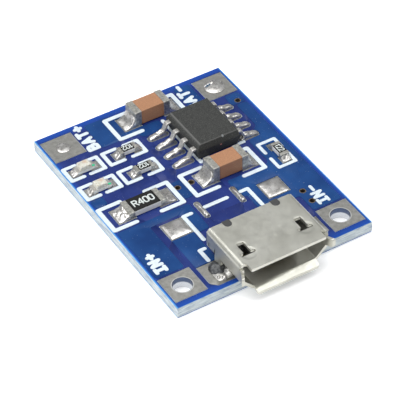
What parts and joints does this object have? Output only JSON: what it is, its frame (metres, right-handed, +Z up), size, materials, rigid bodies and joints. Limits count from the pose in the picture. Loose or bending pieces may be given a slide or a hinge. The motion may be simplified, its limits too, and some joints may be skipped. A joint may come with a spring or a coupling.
{
  "type": "lithium battery charger module",
  "caption": "Small blue circuit board that charges a lithium cell from a micro-USB socket, with a moulded charger chip, chip capacitors, resistors and indicator lights.",
  "frame": {"origin": "middle of the board's underside, which lies flat on Z = 0", "axes": "+Z up through the board; -Y towards the socket's mouth and the input holes; +Y towards the battery pads; +X to the right, seen from above with the socket nearest"},
  "size_m": [0.017, 0.0236, 0.0036],
  "materials": {
    "fr4": "pale fibrous glass-epoxy laminate",
    "solder_mask": "blue lacquer, satin gloss",
    "tinned": "dull tinned copper",
    "solder": "bright uneven solder",
    "via_copper": "brown oxidised copper",
    "mould_compound": "dark grey moulded epoxy",
    "lead_tin": "matte tin plate",
    "capacitor_ceramic": "brown fired ceramic",
    "end_plating": "dull tin plate",
    "alumina": "white fired ceramic",
    "overcoat": "black glass overcoat",
    "led_base": "white laminate",
    "led_lens": "milky cast resin",
    "led_die": "small dark red chip",
    "shell_steel": "satin nickel plate",
    "insulator": "dark grey moulded plastic",
    "contact_gold": "thin gold plate",
    "legend_ink": "white printed ink"
  },
  "bodies": {
    "root": {"battery_minus_solder_fill": "solder", "battery_minus_terminal": "tinned", "battery_plus_solder_fill": "solder", "battery_plus_terminal": "tinned", "bottom_solder_mask": "solder_mask", "charge_led_base": "led_base", "charge_led_die": "led_die", "charge_led_lens": "led_lens", "charge_led_resistor_body": "alumina", "charge_led_resistor_coating": "overcoat", "charge_led_resistor_end_caps": "end_plating", "charge_led_resistor_solder": "solder", "charge_led_solder": "solder", "charge_led_terminals": "lead_tin", "charger_chip_body": "mould_compound", "charger_chip_heat_pad": "lead_tin", "charger_chip_leads": "lead_tin", "charger_chip_solder": "solder", "circuit_board": "fr4", "current_set_resistor_body": "alumina", "current_set_resistor_coating": "overcoat", "current_set_resistor_end_caps": "end_plating", "current_set_resistor_solder": "solder", "input_capacitor_body": "capacitor_ceramic", "input_capacitor_end_caps": "end_plating", "input_capacitor_solder": "solder", "input_minus_terminal": "tinned", "input_plus_terminal": "tinned", "input_resistor_body": "alumina", "input_resistor_coating": "overcoat", "input_resistor_end_caps": "end_plating", "input_resistor_solder": "solder", "output_capacitor_body": "capacitor_ceramic", "output_capacitor_end_caps": "end_plating", "output_capacitor_solder": "solder", "spare_pad_solder": "solder", "standby_led_base": "led_base", "standby_led_die": "led_die", "standby_led_lens": "led_lens", "standby_led_resistor_body": "alumina", "standby_led_resistor_coating": "overcoat", "standby_led_resistor_end_caps": "end_plating", "standby_led_resistor_solder": "solder", "standby_led_solder": "solder", "standby_led_terminals": "lead_tin", "tinned_pads": "tinned", "top_solder_mask": "solder_mask", "usb_contact_solder": "solder", "usb_contacts": "contact_gold", "usb_insulator": "insulator", "usb_shell": "shell_steel", "usb_shell_solder": "solder", "via_barrels": "via_copper"}
  },
  "joints": []
}
